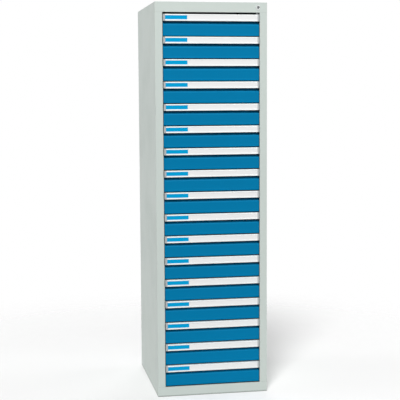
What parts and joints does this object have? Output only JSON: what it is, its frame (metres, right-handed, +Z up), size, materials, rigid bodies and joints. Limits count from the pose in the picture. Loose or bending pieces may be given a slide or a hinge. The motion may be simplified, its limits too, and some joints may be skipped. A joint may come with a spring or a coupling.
{
  "type": "parts bin cabinet",
  "caption": "Tall sheet-steel parts cabinet with a full-height column of equal blue drawers, each with a full-width label grip, and a central lock in the header.",
  "frame": {"origin": "bottom centre of the overall box, on the floor, midway between the side panels and midway between the grips' front and the back of the case", "axes": "+Z up, +Y to the back of the cabinet, -Y is the side the drawers open to, +X to the right as seen from the front"},
  "size_m": [0.514, 0.607, 1.8],
  "materials": {
    "case_paint": "satin powder coat, light grey",
    "drawer_paint": "satin powder coat, sky blue",
    "tray_paint": "satin powder coat, light grey",
    "zinc_steel": "bright galvanised",
    "grip_aluminium": "pale anodised, with paper cards and plastic end caps",
    "lock_metal": "polished"
  },
  "bodies": {
    "cabinet": {"left_side": "case_paint", "right_side": "case_paint", "back_panel": "case_paint", "top_panel": "case_paint", "base_panel": "case_paint", "runner_posts": "zinc_steel", "runner_rails": "zinc_steel"},
    "lock": {"lock_cylinder": "lock_metal"},
    "lock_bar": {"lock_bar": "zinc_steel"},
    "drawer_01": {"drawer_01_tray": "tray_paint", "drawer_01_front": "drawer_paint", "drawer_01_grip": "grip_aluminium"},
    "drawer_02": {"drawer_02_tray": "tray_paint", "drawer_02_front": "drawer_paint", "drawer_02_grip": "grip_aluminium"},
    "drawer_03": {"drawer_03_tray": "tray_paint", "drawer_03_front": "drawer_paint", "drawer_03_grip": "grip_aluminium"},
    "drawer_04": {"drawer_04_tray": "tray_paint", "drawer_04_front": "drawer_paint", "drawer_04_grip": "grip_aluminium"},
    "drawer_05": {"drawer_05_tray": "tray_paint", "drawer_05_front": "drawer_paint", "drawer_05_grip": "grip_aluminium"},
    "drawer_06": {"drawer_06_tray": "tray_paint", "drawer_06_front": "drawer_paint", "drawer_06_grip": "grip_aluminium"},
    "drawer_07": {"drawer_07_tray": "tray_paint", "drawer_07_front": "drawer_paint", "drawer_07_grip": "grip_aluminium"},
    "drawer_08": {"drawer_08_tray": "tray_paint", "drawer_08_front": "drawer_paint", "drawer_08_grip": "grip_aluminium"},
    "drawer_09": {"drawer_09_tray": "tray_paint", "drawer_09_front": "drawer_paint", "drawer_09_grip": "grip_aluminium"},
    "drawer_10": {"drawer_10_tray": "tray_paint", "drawer_10_front": "drawer_paint", "drawer_10_grip": "grip_aluminium"},
    "drawer_11": {"drawer_11_tray": "tray_paint", "drawer_11_front": "drawer_paint", "drawer_11_grip": "grip_aluminium"},
    "drawer_12": {"drawer_12_tray": "tray_paint", "drawer_12_front": "drawer_paint", "drawer_12_grip": "grip_aluminium"},
    "drawer_13": {"drawer_13_tray": "tray_paint", "drawer_13_front": "drawer_paint", "drawer_13_grip": "grip_aluminium"},
    "drawer_14": {"drawer_14_tray": "tray_paint", "drawer_14_front": "drawer_paint", "drawer_14_grip": "grip_aluminium"},
    "drawer_15": {"drawer_15_tray": "tray_paint", "drawer_15_front": "drawer_paint", "drawer_15_grip": "grip_aluminium"},
    "drawer_16": {"drawer_16_tray": "tray_paint", "drawer_16_front": "drawer_paint", "drawer_16_grip": "grip_aluminium"},
    "drawer_17": {"drawer_17_tray": "tray_paint", "drawer_17_front": "drawer_paint", "drawer_17_grip": "grip_aluminium"}
  },
  "joints": [
    {"name": "lock_turn", "type": "hinge", "parent": "cabinet", "child": "lock", "pos_m": [0.216, -0.2965, 1.7775], "axis": [0, -1, 0], "range_deg": [0, 90]},
    {"name": "lock_bar_slide", "type": "slide", "parent": "cabinet", "child": "lock_bar", "axis": [0, 0, 1], "range_m": [0, 0.01202]},
    {"name": "drawer_01_slide", "type": "slide", "parent": "cabinet", "child": "drawer_01", "axis": [0, -1, 0], "range_m": [0, 0.4]},
    {"name": "drawer_02_slide", "type": "slide", "parent": "cabinet", "child": "drawer_02", "axis": [0, -1, 0], "range_m": [0, 0.4]},
    {"name": "drawer_03_slide", "type": "slide", "parent": "cabinet", "child": "drawer_03", "axis": [0, -1, 0], "range_m": [0, 0.4]},
    {"name": "drawer_04_slide", "type": "slide", "parent": "cabinet", "child": "drawer_04", "axis": [0, -1, 0], "range_m": [0, 0.4]},
    {"name": "drawer_05_slide", "type": "slide", "parent": "cabinet", "child": "drawer_05", "axis": [0, -1, 0], "range_m": [0, 0.4]},
    {"name": "drawer_06_slide", "type": "slide", "parent": "cabinet", "child": "drawer_06", "axis": [0, -1, 0], "range_m": [0, 0.4]},
    {"name": "drawer_07_slide", "type": "slide", "parent": "cabinet", "child": "drawer_07", "axis": [0, -1, 0], "range_m": [0, 0.4]},
    {"name": "drawer_08_slide", "type": "slide", "parent": "cabinet", "child": "drawer_08", "axis": [0, -1, 0], "range_m": [0, 0.4]},
    {"name": "drawer_09_slide", "type": "slide", "parent": "cabinet", "child": "drawer_09", "axis": [0, -1, 0], "range_m": [0, 0.4]},
    {"name": "drawer_10_slide", "type": "slide", "parent": "cabinet", "child": "drawer_10", "axis": [0, -1, 0], "range_m": [0, 0.4]},
    {"name": "drawer_11_slide", "type": "slide", "parent": "cabinet", "child": "drawer_11", "axis": [0, -1, 0], "range_m": [0, 0.4]},
    {"name": "drawer_12_slide", "type": "slide", "parent": "cabinet", "child": "drawer_12", "axis": [0, -1, 0], "range_m": [0, 0.4]},
    {"name": "drawer_13_slide", "type": "slide", "parent": "cabinet", "child": "drawer_13", "axis": [0, -1, 0], "range_m": [0, 0.4]},
    {"name": "drawer_14_slide", "type": "slide", "parent": "cabinet", "child": "drawer_14", "axis": [0, -1, 0], "range_m": [0, 0.4]},
    {"name": "drawer_15_slide", "type": "slide", "parent": "cabinet", "child": "drawer_15", "axis": [0, -1, 0], "range_m": [0, 0.4]},
    {"name": "drawer_16_slide", "type": "slide", "parent": "cabinet", "child": "drawer_16", "axis": [0, -1, 0], "range_m": [0, 0.4]},
    {"name": "drawer_17_slide", "type": "slide", "parent": "cabinet", "child": "drawer_17", "axis": [0, -1, 0], "range_m": [0, 0.4]}
  ],
  "couplings": [
    {"joint": "lock_turn", "follows": "lock_bar_slide", "rad_per_m": 130.68}
  ]
}
